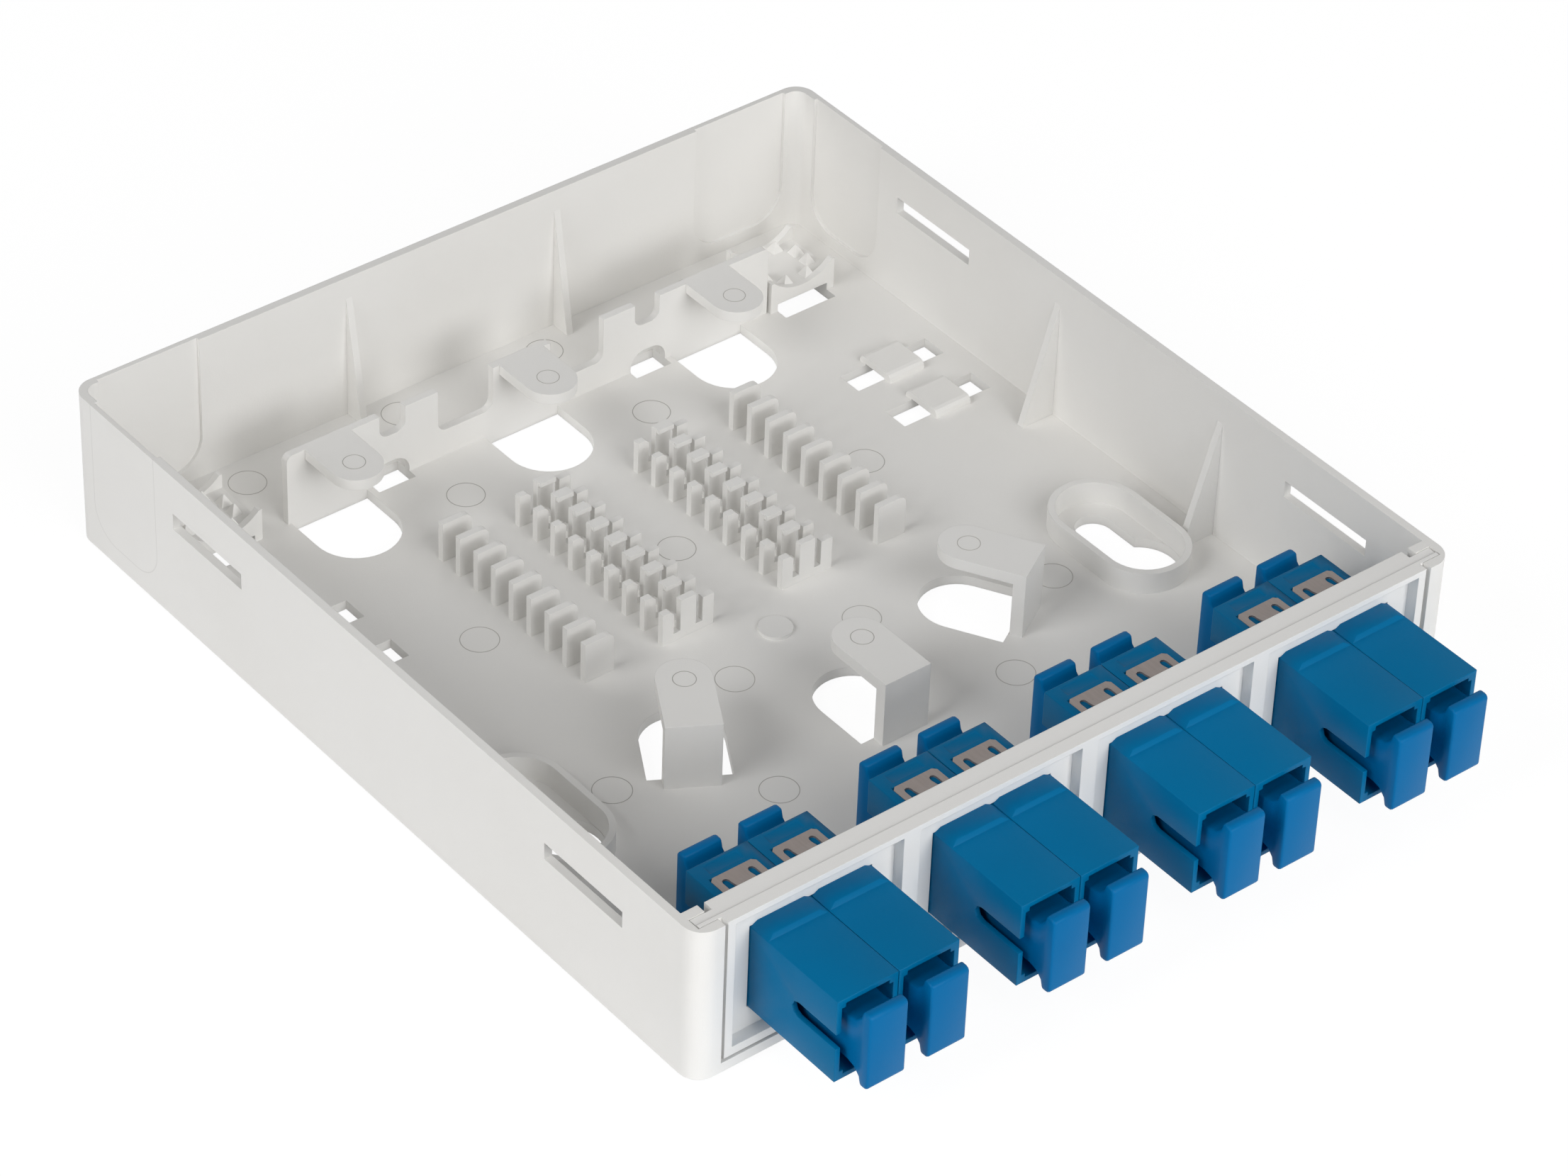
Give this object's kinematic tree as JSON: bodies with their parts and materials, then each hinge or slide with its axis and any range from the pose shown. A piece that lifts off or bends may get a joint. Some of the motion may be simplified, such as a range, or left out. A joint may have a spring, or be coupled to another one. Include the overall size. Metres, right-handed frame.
{
  "type": "wall mount fibre patch box",
  "caption": "Open wall-mount fibre patch tray with splice combs, fibre hooks and a slide-in panel of blue duplex-paired adapters with pull-out dust caps.",
  "frame": {"origin": "middle of the tray underside", "axes": "+X along the adapter panel, -Y out of the panel, +Z away from the wall"},
  "size_m": [0.1244, 0.155, 0.0246],
  "materials": {
    "tray_plastic": "fine moulded, off-white",
    "panel_plastic": "fine moulded, off-white",
    "housing_blue": "moulded, teal blue",
    "cap_blue": "moulded, soft blue",
    "insert_plastic": "moulded, natural",
    "sleeve_ceramic": "polished white ceramic",
    "clip_steel": "rolled spring steel"
  },
  "bodies": {
    "tray": {"base_tray": "tray_plastic"},
    "panel": {"adapter_panel": "panel_plastic", "clip_1": "clip_steel", "clip_2": "clip_steel", "clip_3": "clip_steel", "clip_4": "clip_steel", "clip_5": "clip_steel", "clip_6": "clip_steel", "clip_7": "clip_steel", "clip_8": "clip_steel", "housing_front_1": "housing_blue", "housing_front_2": "housing_blue", "housing_front_3": "housing_blue", "housing_front_4": "housing_blue", "housing_front_5": "housing_blue", "housing_front_6": "housing_blue", "housing_front_7": "housing_blue", "housing_front_8": "housing_blue", "housing_rear_1": "housing_blue", "housing_rear_2": "housing_blue", "housing_rear_3": "housing_blue", "housing_rear_4": "housing_blue", "housing_rear_5": "housing_blue", "housing_rear_6": "housing_blue", "housing_rear_7": "housing_blue", "housing_rear_8": "housing_blue", "latch_insert_1": "insert_plastic", "latch_insert_2": "insert_plastic", "latch_insert_3": "insert_plastic", "latch_insert_4": "insert_plastic", "latch_insert_5": "insert_plastic", "latch_insert_6": "insert_plastic", "latch_insert_7": "insert_plastic", "latch_insert_8": "insert_plastic", "sleeve_1": "sleeve_ceramic", "sleeve_2": "sleeve_ceramic", "sleeve_3": "sleeve_ceramic", "sleeve_4": "sleeve_ceramic", "sleeve_5": "sleeve_ceramic", "sleeve_6": "sleeve_ceramic", "sleeve_7": "sleeve_ceramic", "sleeve_8": "sleeve_ceramic"},
    "dust_cap_front_1": {"cap_front_1": "cap_blue"},
    "dust_cap_rear_1": {"cap_rear_1": "cap_blue"},
    "dust_cap_front_2": {"cap_front_2": "cap_blue"},
    "dust_cap_rear_2": {"cap_rear_2": "cap_blue"},
    "dust_cap_front_3": {"cap_front_3": "cap_blue"},
    "dust_cap_rear_3": {"cap_rear_3": "cap_blue"},
    "dust_cap_front_4": {"cap_front_4": "cap_blue"},
    "dust_cap_rear_4": {"cap_rear_4": "cap_blue"},
    "dust_cap_front_5": {"cap_front_5": "cap_blue"},
    "dust_cap_rear_5": {"cap_rear_5": "cap_blue"},
    "dust_cap_front_6": {"cap_front_6": "cap_blue"},
    "dust_cap_rear_6": {"cap_rear_6": "cap_blue"},
    "dust_cap_front_7": {"cap_front_7": "cap_blue"},
    "dust_cap_rear_7": {"cap_rear_7": "cap_blue"},
    "dust_cap_front_8": {"cap_front_8": "cap_blue"},
    "dust_cap_rear_8": {"cap_rear_8": "cap_blue"}
  },
  "joints": [
    {"name": "panel_slide", "type": "slide", "parent": "tray", "child": "panel", "axis": [0, 0, 1], "range_m": [0, 0.034]},
    {"name": "cap_front_1_pull", "type": "slide", "parent": "panel", "child": "dust_cap_front_1", "axis": [0, -1, 0], "range_m": [0, 0.0105]},
    {"name": "cap_rear_1_pull", "type": "slide", "parent": "panel", "child": "dust_cap_rear_1", "axis": [0, 1, 0], "range_m": [0, 0.0105]},
    {"name": "cap_front_2_pull", "type": "slide", "parent": "panel", "child": "dust_cap_front_2", "axis": [0, -1, 0], "range_m": [0, 0.0105]},
    {"name": "cap_rear_2_pull", "type": "slide", "parent": "panel", "child": "dust_cap_rear_2", "axis": [0, 1, 0], "range_m": [0, 0.0105]},
    {"name": "cap_front_3_pull", "type": "slide", "parent": "panel", "child": "dust_cap_front_3", "axis": [0, -1, 0], "range_m": [0, 0.0105]},
    {"name": "cap_rear_3_pull", "type": "slide", "parent": "panel", "child": "dust_cap_rear_3", "axis": [0, 1, 0], "range_m": [0, 0.0105]},
    {"name": "cap_front_4_pull", "type": "slide", "parent": "panel", "child": "dust_cap_front_4", "axis": [0, -1, 0], "range_m": [0, 0.0105]},
    {"name": "cap_rear_4_pull", "type": "slide", "parent": "panel", "child": "dust_cap_rear_4", "axis": [0, 1, 0], "range_m": [0, 0.0105]},
    {"name": "cap_front_5_pull", "type": "slide", "parent": "panel", "child": "dust_cap_front_5", "axis": [0, -1, 0], "range_m": [0, 0.0105]},
    {"name": "cap_rear_5_pull", "type": "slide", "parent": "panel", "child": "dust_cap_rear_5", "axis": [0, 1, 0], "range_m": [0, 0.0105]},
    {"name": "cap_front_6_pull", "type": "slide", "parent": "panel", "child": "dust_cap_front_6", "axis": [0, -1, 0], "range_m": [0, 0.0105]},
    {"name": "cap_rear_6_pull", "type": "slide", "parent": "panel", "child": "dust_cap_rear_6", "axis": [0, 1, 0], "range_m": [0, 0.0105]},
    {"name": "cap_front_7_pull", "type": "slide", "parent": "panel", "child": "dust_cap_front_7", "axis": [0, -1, 0], "range_m": [0, 0.0105]},
    {"name": "cap_rear_7_pull", "type": "slide", "parent": "panel", "child": "dust_cap_rear_7", "axis": [0, 1, 0], "range_m": [0, 0.0105]},
    {"name": "cap_front_8_pull", "type": "slide", "parent": "panel", "child": "dust_cap_front_8", "axis": [0, -1, 0], "range_m": [0, 0.0105]},
    {"name": "cap_rear_8_pull", "type": "slide", "parent": "panel", "child": "dust_cap_rear_8", "axis": [0, 1, 0], "range_m": [0, 0.0105]}
  ]
}
